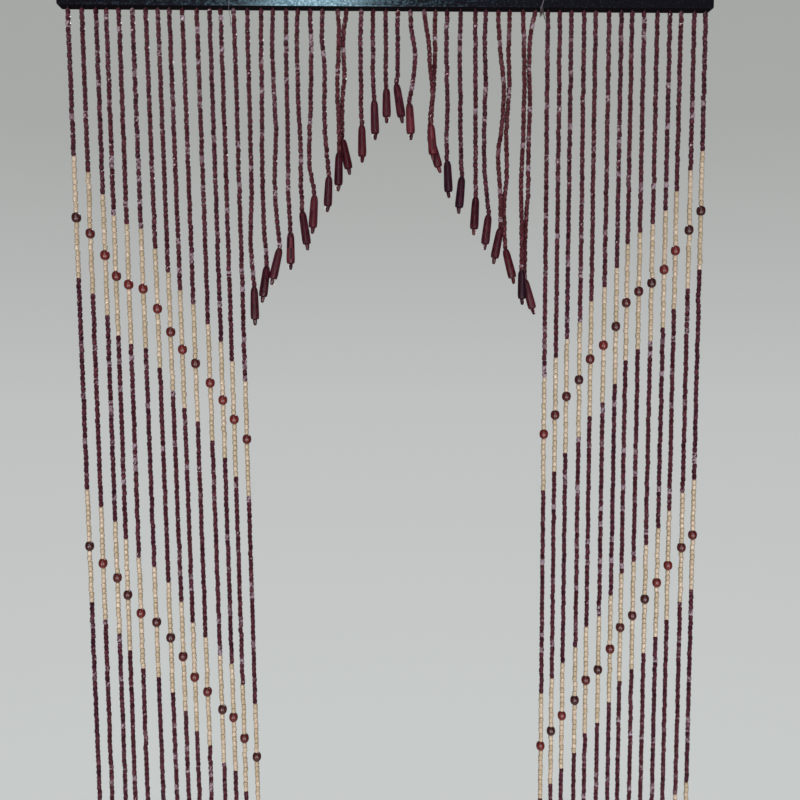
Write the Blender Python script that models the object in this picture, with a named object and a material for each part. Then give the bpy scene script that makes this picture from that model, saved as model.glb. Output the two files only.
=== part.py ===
"""Bead curtain on a wooden rail: two long striped side panels and a short arched valance of bead strings.

The origin is the middle of the rail's back face, +Z is up and the curtain's front faces -Y.
Constants are in metres. The string tables are in millimetres, and depths are counted down from the rail's
underside. A string is a square bar with the area of its beads, wider at its round beads and its drop bead.
"""

import math
from collections import namedtuple

import bpy

MM = 0.001

# The rail is a lath with nearly square ends: its corners are barely rounded as seen from the front, and its
# edges are broken. The strips that carry the strings lie in a groove in its underside.
RAIL_LENGTH = 0.900
RAIL_DEPTH = 0.020
RAIL_HEIGHT = 0.040
RAIL_CORNER = 0.0015
RAIL_CORNER_STEPS = 4
RAIL_EDGE = 0.001
UNDERSIDE_Z = -RAIL_HEIGHT / 2
STRING_Y = -RAIL_DEPTH / 2

SEAT_GAP = 0.0003
STRIP_DEPTH = 0.0064
STRIP_HEIGHT = 0.005

# The beads. A round bead sits in the middle of each pale band, and a drop bead ends each string.
DARK_WIDTH = 0.0062
DARK_PITCH = 0.00805
PALE_WIDTH = 0.0066
BAND_LENGTH = 0.167
BAND_PERIOD = 0.472
LEAST_BAND = 0.030
ROUND_WIDTH = 0.0131
ROUND_LENGTH = 0.0136
DROP_WIDTH = 0.0122
DROP_BODY = 0.043
TAIL_WIDTH = 0.0056
TAIL_LENGTH = 0.0085
LONG_STRING = 1.960

# The outline of a round bead and of a drop bead: shares of the length and of the full width.
ROUND_PROFILE = [(0.0, 0.50), (0.27, 1.0), (0.73, 1.0), (1.0, 0.50)]
DROP_PROFILE = [(0.0, 0.48), (0.08, 0.74), (0.17, 0.86), (0.50, 0.94), (0.86, 1.0), (1.0, 0.86)]

# A square bar as wide as this share of a round bead has the bead's own area.
SQUARE = math.sqrt(math.pi) / 2

# Below this depth the side panels' strings hang plumb.
LEAN_DEPTH = 1.150

# A long string: where it leaves the rail, how far it drifts sideways in each metre, and the depths at which
# its first two pale bands start.
Long = namedtuple("Long", "root drift first second")
LEFT_PANEL = [
    Long(-438.4, -5.7, 198, 666),
    Long(-419.5, -6.2, 220, 692),
    Long(-400.7, -5.3, 250, 714),
    Long(-386.8, -4.8, 279, 740),
    Long(-369.9, -3.6, 291, 768),
    Long(-351.7, 0.8, 297, 782),
    Long(-333.7, 2.7, 325, 806),
    Long(-317.3, 3.8, 358, 835),
    Long(-301.8, 4.0, 383, 867),
    Long(-284.2, 4.4, 403, 890),
    Long(-264.7, 5.1, 431, 918),
    Long(-247.1, 4.2, 456, 931),
    Long(-232.2, 4.2, 484, 964),
    Long(-214.3, 3.8, 513, 994),
]
RIGHT_PANEL = [
    Long(219.7, -1.1, 512, 990),
    Long(236.7, -2.4, 484, 967),
    Long(252.7, -2.2, 457, 943),
    Long(270.8, -1.1, 433, 919),
    Long(286.9, -1.0, 403, 888),
    Long(305.9, -1.1, 383, 872),
    Long(323.3, -1.1, 356, 840),
    Long(338.3, -0.7, 322, 807),
    Long(355.5, 0.4, 306, 789),
    Long(374.2, -0.5, 294, 764),
    Long(392.1, -0.5, 275, 739),
    Long(407.5, 0.5, 248, 713),
    Long(426.6, 1.3, 219, 686),
    Long(442.8, 1.9, 192, 667),
]

# A short string: where it leaves the rail, the depth of its drop bead's top, its sway to the right at each
# sixth of that depth, how far it hangs forward of the rail's middle, how far right its drop bead points and
# how long that bead is.
Short = namedtuple("Short", "root depth s1 s2 s3 s4 s5 s6 forward point body")
LEFT_VALANCE = [
    Short(-196, 379, -0.3, -0.1, -0.2, -0.6, -3.7, -0.2, 0.0, 0, 46),
    Short(-177, 350, -1.1, -1.5, -2.6, -3.5, -3.0, -0.3, 2.0, -8, 43),
    Short(-161, 325, -2.1, -1.3, 0.4, -2.5, -2.1, 2.0, -2.0, -13, 43),
    Short(-143, 303, -0.9, -1.4, -1.1, -1.9, -2.0, -0.2, 0.0, -1, 44),
    Short(-127, 274, -2.1, -1.9, -1.7, 0.2, -0.3, 0.6, 0.0, 7, 46),
    Short(-110, 252, 0.5, -0.2, -1.2, -3.7, -5.2, 1.4, 0.0, -4, 45),
    Short(-93, 226, -1.7, 1.3, 0.9, 0.4, 1.9, 5.1, 0.0, -3, 41),
    Short(-72, 194, 1.4, 0.0, -1.9, -1.7, -0.6, -1.2, 4.9, -2, 45),
    Short(-60, 174, -4.6, -5.4, -4.2, -7.4, -8.2, -8.6, -3.6, 10, 41),
    Short(-40, 156, -0.9, -1.3, -1.7, -1.4, -1.7, -1.0, 0.0, 0, 43),
    Short(-23, 122, -0.9, -1.2, -1.0, -1.6, -1.3, -0.4, 0.0, 1, 46),
    Short(-6, 106, -0.6, -0.4, -0.2, -0.8, -1.0, -0.2, 0.0, 0, 39),
]
RIGHT_VALANCE = [
    Short(11, 100, -0.7, -0.8, -1.0, -1.1, -1.6, -3.2, 0.0, 8, 45),
    Short(28, 126, 0.5, 4.2, 6.4, 4.4, 1.3, -2.3, 0.0, 2, 42),
    Short(47, 157, 2.9, 5.8, 6.9, 10.1, 9.8, 8.0, 10.0, 3, 41),
    Short(63, 168, -1.2, -0.6, -2.1, -3.2, -7.3, -9.1, -2.4, 15, 45),
    Short(79, 205, -1.1, -1.1, -0.3, 0.2, -1.3, -0.4, 0.0, 2, 43),
    Short(98, 227, -1.1, -1.4, -0.7, -0.8, -0.5, 1.3, 0.0, -5, 43),
    Short(118, 255, 0.5, 0.5, 0.5, 0.7, 0.7, 1.0, 0.0, -3, 45),
    Short(133, 280, -1.4, -0.0, -1.7, -2.5, -0.3, 4.2, 0.0, -6, 41),
    Short(150, 299, 2.3, 7.5, 6.3, 0.1, 3.6, 3.7, 3.2, -10, 42),
    Short(166, 328, -0.8, 0.3, -3.4, -2.5, -6.5, -4.2, -2.8, 13, 41),
    Short(185, 358, 1.2, 1.0, -0.4, -3.0, -1.5, -1.2, 6.8, 1, 41),
    Short(198, 371, -3.9, -2.1, -3.5, -3.7, -7.4, -7.9, -3.7, 14, 42),
]

# Where one node's strip ends and the next one's starts, halfway between the strings beside the joint.
STRIP_EDGES = [-0.4465, -0.2055, 0.0025, 0.2105, 0.4465]

# One cross-section of a string. Pale says whether the beads from here down are the pale ones.
Ring = namedtuple("Ring", "x y z width pale")


def material(name, color, roughness, coat=0.0):
    """A Principled BSDF of one colour."""
    made = bpy.data.materials.new(name)
    made.use_nodes = True
    made.diffuse_color = (*color, 1.0)
    shader = made.node_tree.nodes["Principled BSDF"]
    shader.inputs["Base Color"].default_value = (*color, 1.0)
    shader.inputs["Roughness"].default_value = roughness
    shader.inputs["Metallic"].default_value = 0.0
    shader.inputs["Coat Weight"].default_value = coat
    return made


def add_object(name, verts, faces, materials, pale_faces=()):
    """A mesh object in world coordinates. The faces in pale_faces take the second material."""
    mesh = bpy.data.meshes.new(name)
    mesh.from_pydata(verts, [], faces)
    for each in materials:
        mesh.materials.append(each)
    for index in pale_faces:
        mesh.polygons[index].material_index = 1
    mesh.update()
    made = bpy.data.objects.new(name, mesh)
    bpy.context.scene.collection.objects.link(made)
    return made


def box_faces():
    """Outward quads of a box whose corners are listed lower face first, each face anticlockwise from above."""
    sides = [(k, (k + 1) % 4, 4 + (k + 1) % 4, 4 + k) for k in range(4)]
    return [(3, 2, 1, 0), (4, 5, 6, 7), *sides]


def box_corners(low, high):
    """The corners of a box, in the order that box_faces wants."""
    round_z = [(low[0], low[1]), (high[0], low[1]), (high[0], high[1]), (low[0], high[1])]
    return [(x, y, z) for z in (low[2], high[2]) for x, y in round_z]


def lath_outline():
    """The lath's outline in the XZ plane as seen from the front, anticlockwise, with rounded corners."""
    reach, rise = RAIL_LENGTH / 2 - RAIL_CORNER, RAIL_HEIGHT / 2 - RAIL_CORNER
    points = []
    for quarter, (sx, sz) in enumerate([(1, 1), (-1, 1), (-1, -1), (1, -1)]):
        for step in range(RAIL_CORNER_STEPS + 1):
            turn = (quarter + step / RAIL_CORNER_STEPS) * math.pi / 2
            points.append((sx * reach + RAIL_CORNER * math.cos(turn), sz * rise + RAIL_CORNER * math.sin(turn)))
    return points


def build_rail(finish):
    """The lath: its outline drawn back to the wall, with the strips' groove cut into its underside."""
    outline = lath_outline()
    count = len(outline)
    verts = [(x, -RAIL_DEPTH, z) for x, z in outline] + [(x, 0, z) for x, z in outline]
    faces = [tuple(range(count)), tuple(reversed(range(count, 2 * count)))]
    for k in range(count):
        after = (k + 1) % count
        faces.append((after, k, count + k, count + after))
    rail = add_object("rail", verts, faces, [finish])
    bevel = rail.modifiers.new("broken edges", "BEVEL")
    bevel.width = RAIL_EDGE
    bevel.segments = 1
    bevel.limit_method = "ANGLE"
    bevel.angle_limit = math.radians(60)

    reach = STRIP_EDGES[-1] + SEAT_GAP
    half_groove = STRIP_DEPTH / 2 + SEAT_GAP
    roof = UNDERSIDE_Z + STRIP_HEIGHT + SEAT_GAP
    low = (-reach, STRING_Y - half_groove, UNDERSIDE_Z - RAIL_CORNER)
    high = (reach, STRING_Y + half_groove, roof)
    groove = add_object("groove_cutter", box_corners(low, high), box_faces(), [])
    groove.hide_render = True
    groove.display_type = "WIRE"
    cut = rail.modifiers.new("groove", "BOOLEAN")
    cut.object = groove
    cut.operation = "DIFFERENCE"
    cut.solver = "EXACT"
    return rail


def drop_rings(x, y, depth, point, body):
    """The drop bead and the small tail bead under it: a neck that swells to a flat lower end."""
    rings = []
    for share, width in DROP_PROFILE:
        reach = point * share * body / (body + TAIL_LENGTH)
        rings.append(Ring(x + reach, y, depth + body * share, DROP_WIDTH * width, False))
    end = rings[-1]
    rings.append(end._replace(width=TAIL_WIDTH))
    rings.append(Ring(x + point, y, depth + body + TAIL_LENGTH, TAIL_WIDTH, False))
    return rings


def round_rings(x, y, start):
    """A round bead in the middle of a pale band, a little longer than wide."""
    rings = [Ring(x, y, start, PALE_WIDTH, True)]
    for share, width in ROUND_PROFILE:
        rings.append(Ring(x, y, start + ROUND_LENGTH * share, ROUND_WIDTH * width, True))
    rings.append(Ring(x, y, start + ROUND_LENGTH, PALE_WIDTH, True))
    return rings


def band_starts(row, end):
    """The depths at which a long string's pale bands start. The drop bead may cut the last one short."""
    starts = [row.first * MM, row.second * MM]
    while starts[-1] + BAND_PERIOD + LEAST_BAND < end:
        starts.append(starts[-1] + BAND_PERIOD)
    return starts


def drop_depth(row):
    """The depth of a long string's drop bead: as many whole beads as fit above it."""
    room = LONG_STRING - DROP_BODY - TAIL_LENGTH
    first = row.first * MM
    return first + DARK_PITCH * math.floor((room - first) / DARK_PITCH)


def long_rings(row):
    """The cross-sections of a long string, from the rail down."""
    def at(depth):
        return (row.root + row.drift * min(depth, LEAN_DEPTH)) * MM

    end = drop_depth(row)
    rings = [Ring(at(0), STRING_Y, 0, DARK_WIDTH, False)]
    for start in band_starts(row, end):
        rings.append(Ring(at(start), STRING_Y, start, DARK_WIDTH, False))
        rings.append(Ring(at(start), STRING_Y, start, PALE_WIDTH, True))
        middle = start + (BAND_LENGTH - ROUND_LENGTH) / 2
        if middle + ROUND_LENGTH + PALE_WIDTH < end:
            rings += round_rings(at(middle), STRING_Y, middle)
        close = start + BAND_LENGTH
        if close < end:
            rings.append(Ring(at(close), STRING_Y, close, PALE_WIDTH, False))
            rings.append(Ring(at(close), STRING_Y, close, DARK_WIDTH, False))
    return rings + drop_rings(at(end), STRING_Y, end, 0, DROP_BODY)


def short_rings(row):
    """The cross-sections of a short string, from the rail down."""
    sways = [0, row.s1, row.s2, row.s3, row.s4, row.s5, row.s6]
    depth = row.depth * MM
    rings = []
    for step, sway in enumerate(sways):
        forward = row.forward * min(step, 2) / 2
        place = ((row.root + sway) * MM, STRING_Y - forward * MM, depth * step / 6)
        rings.append(Ring(*place, DARK_WIDTH, False))
    last = rings.pop()
    return rings + drop_rings(last.x, last.y, last.z, row.point * MM, row.body * MM)


def ring_corners(ring):
    """The four corners of a cross-section, anticlockwise from above, starting at the front left."""
    half = ring.width * SQUARE / 2
    z = UNDERSIDE_Z - ring.z
    signs = [(-1, -1), (1, -1), (1, 1), (-1, 1)]
    return [(ring.x + half * sx, ring.y + half * sy, z) for sx, sy in signs]


def build_curtain(name, strings, left, right, materials):
    """One strip with its strings as one closed body. Each string grows out of the strip's underside."""
    verts, faces, pale_faces = [], [], []
    walls = [(left + right) / 2] * (len(strings) + 1)
    for k in range(1, len(strings)):
        walls[k] = (strings[k - 1][0].x + strings[k][0].x) / 2
    walls[0], walls[-1] = left, right
    front, back = STRING_Y - STRIP_DEPTH / 2, STRING_Y + STRIP_DEPTH / 2
    for x in walls:
        verts += [(x, front, UNDERSIDE_Z), (x, back, UNDERSIDE_Z)]
        verts += [(x, back, UNDERSIDE_Z + STRIP_HEIGHT), (x, front, UNDERSIDE_Z + STRIP_HEIGHT)]

    faces.append((0, 3, 2, 1))
    for k, rings in enumerate(strings):
        here, there = 4 * k, 4 * (k + 1)
        faces.append((here, there, there + 3, here + 3))
        faces.append((here + 1, here + 2, there + 2, there + 1))
        faces.append((here + 3, there + 3, there + 2, here + 2))
        base = len(verts)
        for ring in rings:
            verts += ring_corners(ring)
        rim = [here, there, there + 1, here + 1]
        for side in range(4):
            after = (side + 1) % 4
            faces.append((rim[after], rim[side], base + side, base + after))
        for step, ring in enumerate(rings[:-1]):
            above, below = base + 4 * step, base + 4 * (step + 1)
            for side in range(4):
                after = (side + 1) % 4
                if ring.pale:
                    pale_faces.append(len(faces))
                faces.append((above + after, above + side, below + side, below + after))
        last = base + 4 * (len(rings) - 1)
        faces.append((last + 3, last + 2, last + 1, last))
    end = 4 * len(strings)
    faces.append((end, end + 1, end + 2, end + 3))
    return add_object(name, verts, faces, materials, pale_faces)


def main():
    for old in list(bpy.data.objects):
        bpy.data.objects.remove(old)

    lacquer = material("rail_lacquer", (0.012, 0.010, 0.011), 0.18, 0.6)
    dark = material("dark_beads", (0.115, 0.018, 0.030), 0.22, 0.3)
    pale = material("pale_beads", (0.66, 0.52, 0.34), 0.28, 0.3)

    build_rail(lacquer)
    curtains = [
        ("left_panel", [long_rings(row) for row in LEFT_PANEL]),
        ("left_valance", [short_rings(row) for row in LEFT_VALANCE]),
        ("right_valance", [short_rings(row) for row in RIGHT_VALANCE]),
        ("right_panel", [long_rings(row) for row in RIGHT_PANEL]),
    ]
    for index, (name, strings) in enumerate(curtains):
        left = STRIP_EDGES[index] + SEAT_GAP / 2
        right = STRIP_EDGES[index + 1] - SEAT_GAP / 2
        build_curtain(name, strings, left, right, [dark, pale])


main()
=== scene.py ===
"""Looks for a bead curtain on a wooden rail.

Cut glass beads hang from a lacquered lath on fifty-two strings: two side panels with pale diagonal bands
and a round bead in each band, and between them a short valance that rises to a point. Every string is
strung bead by bead, in metres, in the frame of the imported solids: the origin is the middle of the rail's
back face, +Z is up and the front faces -Y. The string tables are in millimetres, with depths counted down
from the rail's underside.
"""

import logging
import math
import random
from dataclasses import dataclass
from enum import Enum

import bmesh
import bpy
from bmesh.types import BMesh
from bpy.types import Material, Mesh, NodeSocket, Object
from mathutils import Matrix, Vector


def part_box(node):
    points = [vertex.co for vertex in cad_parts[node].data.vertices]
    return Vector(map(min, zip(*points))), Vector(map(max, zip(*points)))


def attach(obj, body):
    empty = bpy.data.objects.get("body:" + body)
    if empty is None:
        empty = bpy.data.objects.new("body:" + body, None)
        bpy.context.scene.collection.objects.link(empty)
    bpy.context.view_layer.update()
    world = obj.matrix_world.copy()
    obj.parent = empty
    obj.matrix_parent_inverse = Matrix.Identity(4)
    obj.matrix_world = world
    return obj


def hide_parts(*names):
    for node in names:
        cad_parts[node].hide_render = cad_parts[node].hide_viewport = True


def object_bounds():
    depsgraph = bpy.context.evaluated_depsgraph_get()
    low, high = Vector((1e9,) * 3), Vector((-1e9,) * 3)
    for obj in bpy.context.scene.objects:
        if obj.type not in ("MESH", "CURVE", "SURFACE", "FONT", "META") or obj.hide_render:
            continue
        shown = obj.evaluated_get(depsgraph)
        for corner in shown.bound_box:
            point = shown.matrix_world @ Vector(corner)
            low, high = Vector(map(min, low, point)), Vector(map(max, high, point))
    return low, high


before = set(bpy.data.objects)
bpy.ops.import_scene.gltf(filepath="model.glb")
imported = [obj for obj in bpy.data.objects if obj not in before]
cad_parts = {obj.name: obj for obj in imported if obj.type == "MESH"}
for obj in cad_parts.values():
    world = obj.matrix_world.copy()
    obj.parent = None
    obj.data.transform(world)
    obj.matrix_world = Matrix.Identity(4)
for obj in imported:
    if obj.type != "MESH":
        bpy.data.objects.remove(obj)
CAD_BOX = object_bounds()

log = logging.getLogger("bead_curtain")

Point = tuple[float, float, float]
Colour = tuple[float, float, float]
Pairs = tuple[tuple[float, float], ...]

MM = 0.001
RAIL_LOW, RAIL_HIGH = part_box("rail")
UNDERSIDE_Z = RAIL_LOW.z
STRING_Y = (RAIL_LOW.y + RAIL_HIGH.y) / 2
BODY = "root"

# The beads and the pale bands. A drop bead and a small tail bead under it end each string.
DARK_WIDTH = 0.0065
DARK_PITCH = 0.00805
PALE_WIDTH = 0.0068
PALE_PITCH = 0.00772
BAND_LENGTH = 0.167
BAND_PERIOD = 0.472
LEAST_BAND = 0.030
ROUND_WIDTH = 0.0131
ROUND_LENGTH = 0.0136
DROP_WIDTH = 0.0122
DROP_BODY = 0.043
TAIL_WIDTH = 0.0056
TAIL_LENGTH = 0.0085
LONG_STRING = 1.960
LEAN_DEPTH = 1.150

# The thread, the loops tied under some drop beads, and how far back the loose ends lie as they hang.
THREAD_RADIUS = 0.00045
THREAD_SIDES = 6
THREAD_STEP = 0.024
PULL_DEPTH = 0.022
FIRST_BEAD = 0.0016
LOOP_SHARE = 0.6
LOOP_RADIUS = 0.0006
LOOP_REACH = (0.0028, 0.0042)
LOOP_FALL = (0.003, 0.007)
BACK_PER_MM = 0.0003
MOST_BACK = 0.0025

# How unevenly the beads are made and lie on their thread.
LENGTH_SPREAD = 0.07
WIDTH_SPREAD = 0.035
SIDE_STRAY = 0.00025
TINT_SPREAD = 0.12
DROP_TINT_SPREAD = 0.08


class BeadKind(Enum):
    """The five beads of the curtain, with the words for each in the names of the pieces."""

    DARK = "dark_beads"
    PALE = "pale_beads"
    ROUND = "round_beads"
    DROP = "drop_beads"
    TAIL = "tail_beads"


class Glass(Enum):
    """The tint of a string's dark glass, from cool plum to warm brick, as a share of warmth."""

    PLUM = 0.0
    WINE = 0.45
    BRICK = 1.0


@dataclass(frozen=True)
class Bead:
    """One bead in place: its middle, the way its hole points, its size and its tint."""

    kind: BeadKind
    centre: Vector
    along: Vector
    length: float
    width: float
    tone: float
    warmth: float


@dataclass(frozen=True)
class Run:
    """A stretch of like beads between two depths, in metres."""

    kind: BeadKind
    start: float
    end: float


@dataclass(frozen=True)
class LongString:
    """A side panel's string, in millimetres.

    Root and drift, per metre, are sideways; first and second are the depths of its first two pale bands.
    """

    root: float
    drift: float
    first: float
    second: float
    glass: Glass = Glass.WINE
    drop: Glass = Glass.WINE

    def drop_depth(self) -> float:
        """Returns: the depth of the drop bead's top, a whole number of dark beads below the first band."""
        room = LONG_STRING - DROP_BODY - TAIL_LENGTH
        first = self.first * MM
        return first + DARK_PITCH * math.floor((room - first) / DARK_PITCH)

    def at(self, depth: float) -> Vector:
        """Returns: the string's point at a depth in metres."""
        sideways = (self.root + self.drift * min(depth, LEAN_DEPTH)) * MM
        return Vector((sideways, STRING_Y, UNDERSIDE_Z - depth))

    def tip(self) -> Vector:
        """Returns: the lower end of the tail bead."""
        return self.at(self.drop_depth() + DROP_BODY + TAIL_LENGTH)

    def drop_length(self) -> float:
        """Returns: the length of the drop bead."""
        return DROP_BODY

    def runs(self) -> list[Run]:
        """Returns: the stretches of beads from the rail down to the drop bead."""
        end = self.drop_depth()
        starts = [self.first * MM, self.second * MM]
        while starts[-1] + BAND_PERIOD + LEAST_BAND < end:
            starts.append(starts[-1] + BAND_PERIOD)
        made, reached = [], FIRST_BEAD
        for start in starts:
            made.append(Run(BeadKind.DARK, reached, start))
            middle = start + (BAND_LENGTH - ROUND_LENGTH) / 2
            reached = min(start + BAND_LENGTH, end)
            if middle + ROUND_LENGTH + PALE_WIDTH < end:
                made.append(Run(BeadKind.PALE, start, middle))
                made.append(Run(BeadKind.ROUND, middle, middle + ROUND_LENGTH))
                made.append(Run(BeadKind.PALE, middle + ROUND_LENGTH, reached))
            else:
                made.append(Run(BeadKind.PALE, start, reached))
        if reached < end:
            made.append(Run(BeadKind.DARK, reached, end))
        return made


@dataclass(frozen=True)
class ShortString:
    """A valance string, in millimetres.

    Sways are sideways at each sixth of its depth, forward is towards the viewer, point is how far right its
    drop bead points, body is that bead's length, and pull is how far aside its knot has been dragged.
    """

    root: float
    depth: float
    sways: tuple[float, float, float, float, float, float]
    forward: float
    point: float
    body: float
    glass: Glass = Glass.WINE
    drop: Glass = Glass.WINE
    pull: float = 0.0

    def drop_depth(self) -> float:
        """Returns: the depth of the drop bead's top."""
        return self.depth * MM

    def at(self, depth: float) -> Vector:
        """Returns: the string's point at a depth in metres, on a smooth line through its sways."""
        sways = (0.0, *self.sways)
        last = len(sways) - 1
        place = min(max(depth / self.drop_depth(), 0.0), 1.0) * last
        step = min(int(place), last - 1)
        share = place - step
        before, here = sways[max(step - 1, 0)], sways[step]
        there, after = sways[step + 1], sways[min(step + 2, last)]
        smooth = 3 * share**2 - 2 * share**3
        leave = (there - before) / 2 * (share - 2 * share**2 + share**3)
        arrive = (after - here) / 2 * (share**3 - share**2)
        sideways = here + (there - here) * smooth + leave + arrive
        sideways += self.pull * max(0.0, 1.0 - depth / PULL_DEPTH)
        forward = self.forward * min(place / 2, 1.0)
        return Vector(((self.root + sideways) * MM, STRING_Y - forward * MM, UNDERSIDE_Z - depth))

    def tip(self) -> Vector:
        """Returns: the lower end of the tail bead, where the drop bead points."""
        end = self.at(self.drop_depth())
        return end + Vector((self.point * MM, 0.0, -self.drop_length() - TAIL_LENGTH))

    def drop_length(self) -> float:
        """Returns: the length of the drop bead."""
        return self.body * MM

    def runs(self) -> list[Run]:
        """Returns: the one stretch of dark beads."""
        return [Run(BeadKind.DARK, FIRST_BEAD, self.drop_depth())]


String = LongString | ShortString


def from_rows(kind: type[String], *rows: tuple) -> tuple[String, ...]:
    """Returns: a string of this kind for each row of a table."""
    return tuple(kind(*row) for row in rows)


LEFT_PANEL = from_rows(
    LongString,
    (-438.4, -5.7, 198, 666, Glass.PLUM),
    (-419.5, -6.2, 220, 692),
    (-400.7, -5.3, 250, 714, Glass.PLUM),
    (-386.8, -4.8, 279, 740),
    (-369.9, -3.6, 291, 768),
    (-351.7, 0.8, 297, 782, Glass.PLUM),
    (-333.7, 2.7, 325, 806),
    (-317.3, 3.8, 358, 835),
    (-301.8, 4.0, 383, 867),
    (-284.2, 4.4, 403, 890),
    (-264.7, 5.1, 431, 918),
    (-247.1, 4.2, 456, 931, Glass.PLUM),
    (-232.2, 4.2, 484, 964),
    (-214.3, 3.8, 513, 994),
)
RIGHT_PANEL = from_rows(
    LongString,
    (219.7, -1.1, 512, 990),
    (236.7, -2.4, 484, 967),
    (252.7, -2.2, 457, 943, Glass.PLUM),
    (270.8, -1.1, 433, 919),
    (286.9, -1.0, 403, 888),
    (305.9, -1.1, 383, 872),
    (323.3, -1.1, 356, 840, Glass.PLUM),
    (338.3, -0.7, 322, 807),
    (355.5, 0.4, 306, 789),
    (374.2, -0.5, 294, 764),
    (392.1, -0.5, 275, 739, Glass.PLUM),
    (407.5, 0.5, 248, 713),
    (426.6, 1.3, 219, 686),
    (442.8, 1.9, 192, 667, Glass.PLUM),
)
LEFT_VALANCE = from_rows(
    ShortString,
    (-196, 379, (-0.3, -0.1, -0.2, -0.6, -3.7, -0.2), 0.0, 0, 46),
    (-177, 350, (-1.1, -1.5, -2.6, -3.5, -3.0, -0.3), 2.0, -8, 43),
    (-161, 325, (-2.1, -1.3, 0.4, -2.5, -2.1, 2.0), -2.0, -13, 43),
    (-143, 303, (-0.9, -1.4, -1.1, -1.9, -2.0, -0.2), 0.0, -1, 44, Glass.WINE, Glass.PLUM),
    (-127, 274, (-2.1, -1.9, -1.7, 0.2, -0.3, 0.6), 0.0, 7, 46),
    (-110, 252, (0.5, -0.2, -1.2, -3.7, -5.2, 1.4), 0.0, -4, 45),
    (-93, 226, (-1.7, 1.3, 0.9, 0.4, 1.9, 5.1), 0.0, -3, 41),
    (-72, 194, (1.4, 0.0, -1.9, -1.7, -0.6, -1.2), 4.9, -2, 45, Glass.BRICK),
    (-60, 174, (-4.6, -5.4, -4.2, -7.4, -8.2, -8.6), -3.6, 10, 41, Glass.BRICK, Glass.BRICK),
    (-40, 156, (-0.9, -1.3, -1.7, -1.4, -1.7, -1.0), 0.0, 0, 43, Glass.WINE, Glass.BRICK),
    (-23, 122, (-0.9, -1.2, -1.0, -1.6, -1.3, -0.4), 0.0, 1, 46),
    (-6, 106, (-0.6, -0.4, -0.2, -0.8, -1.0, -0.2), 0.0, 0, 39),
)
RIGHT_VALANCE = from_rows(
    ShortString,
    (11, 100, (-0.7, -0.8, -1.0, -1.1, -1.6, -3.2), 0.0, 8, 45),
    (28, 126, (0.5, 4.2, 6.4, 4.4, 1.3, -2.3), 0.0, 2, 42),
    (47, 157, (2.9, 5.8, 6.9, 10.1, 9.8, 8.0), 10.0, 3, 41, Glass.BRICK, Glass.BRICK),
    (63, 168, (-1.2, -0.6, -2.1, -3.2, -7.3, -9.1), -2.4, 15, 45, Glass.BRICK, Glass.BRICK),
    (79, 205, (-1.1, -1.1, -0.3, 0.2, -1.3, -0.4), 0.0, 2, 43, Glass.PLUM, Glass.PLUM),
    (98, 227, (-1.1, -1.4, -0.7, -0.8, -0.5, 1.3), 0.0, -5, 43, Glass.PLUM, Glass.PLUM),
    (118, 255, (0.5, 0.5, 0.5, 0.7, 0.7, 1.0), 0.0, -3, 45),
    (133, 280, (-1.4, 0.0, -1.7, -2.5, -0.3, 4.2), 0.0, -6, 41, Glass.PLUM),
    (150, 299, (2.3, 7.5, 6.3, 0.1, 3.6, 3.7), 3.2, -10, 42, Glass.BRICK),
    (166, 328, (-0.8, 0.3, -3.4, -2.5, -6.5, -4.2), -2.8, 13, 41, Glass.BRICK, Glass.BRICK),
    (185, 358, (1.2, 1.0, -0.4, -3.0, -1.5, -1.2), 6.8, 1, 41, Glass.BRICK, Glass.PLUM),
    (198, 371, (-3.9, -2.1, -3.5, -3.7, -7.4, -7.9), -3.7, 14, 42, Glass.BRICK, Glass.WINE, 5.0),
)


class Wire:
    """A node's output that takes part in Python arithmetic, each operator adding a Math node."""

    def __init__(self, bench: "Bench", socket: NodeSocket) -> None:
        """Keeps the socket and the bench that its nodes are added to."""
        self.bench = bench
        self.socket = socket

    def _math(self, operation: str, *values: "Wire | float") -> "Wire":
        """Adds a Math node. Returns: its result."""
        return self.bench.add("ShaderNodeMath", {"operation": operation}, dict(enumerate(values)))

    def __add__(self, other: "Wire | float") -> "Wire":
        """Returns: self + other."""
        return self._math("ADD", self, other)

    __radd__ = __add__

    def __sub__(self, other: "Wire | float") -> "Wire":
        """Returns: self - other."""
        return self._math("SUBTRACT", self, other)

    def __rsub__(self, other: float) -> "Wire":
        """Returns: other - self."""
        return self._math("SUBTRACT", other, self)

    def __mul__(self, other: "Wire | float") -> "Wire":
        """Returns: self * other."""
        return self._math("MULTIPLY", self, other)

    __rmul__ = __mul__

    def between(self, low: float, high: float) -> "Wire":
        """Returns: a soft step from 0 at low to 1 at high."""
        settings = {"interpolation_type": "SMOOTHSTEP"}
        values = {"Value": self, "From Min": low, "From Max": high}
        return self.bench.add("ShaderNodeMapRange", settings, values)


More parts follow.
